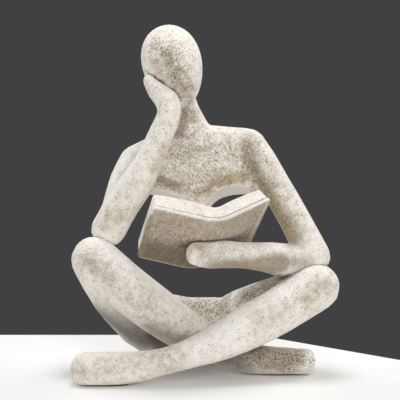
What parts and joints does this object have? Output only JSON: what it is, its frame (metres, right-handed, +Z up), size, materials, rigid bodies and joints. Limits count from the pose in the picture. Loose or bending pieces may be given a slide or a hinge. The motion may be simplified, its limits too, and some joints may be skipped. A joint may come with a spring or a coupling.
{
  "type": "reading woman statue",
  "caption": "Abstract faceless figure sitting cross-legged with an open book, cheek resting on one hand, cast in sandstone-coloured resin.",
  "frame": {"origin": "on the resting surface, under the middle of the whole figure's bounding box", "axes": "+Z up, -Y towards the viewer whom the figure faces, +X towards the figure's left hand"},
  "size_m": [0.124, 0.0746, 0.1623],
  "materials": {
    "sandstone_resin": "matte, fine sandy speckle",
    "pin_steel": "drawn wire",
    "pad_felt": "pressed felt"
  },
  "bodies": {
    "root": {"head": "sandstone_resin", "torso": "sandstone_resin", "right_arm": "sandstone_resin", "left_arm": "sandstone_resin", "seat": "sandstone_resin", "right_leg": "sandstone_resin", "left_leg": "sandstone_resin", "book_cover": "sandstone_resin", "book_pages": "sandstone_resin", "neck_pin": "pin_steel", "right_shoulder_pin": "pin_steel", "left_shoulder_pin": "pin_steel", "right_hip_pin": "pin_steel", "left_hip_pin": "pin_steel", "right_elbow_pin": "pin_steel", "left_elbow_pin": "pin_steel", "book_pin": "pin_steel", "seat_pad": "pad_felt", "left_foot_pad": "pad_felt", "right_foot_pad": "pad_felt"}
  },
  "joints": []
}
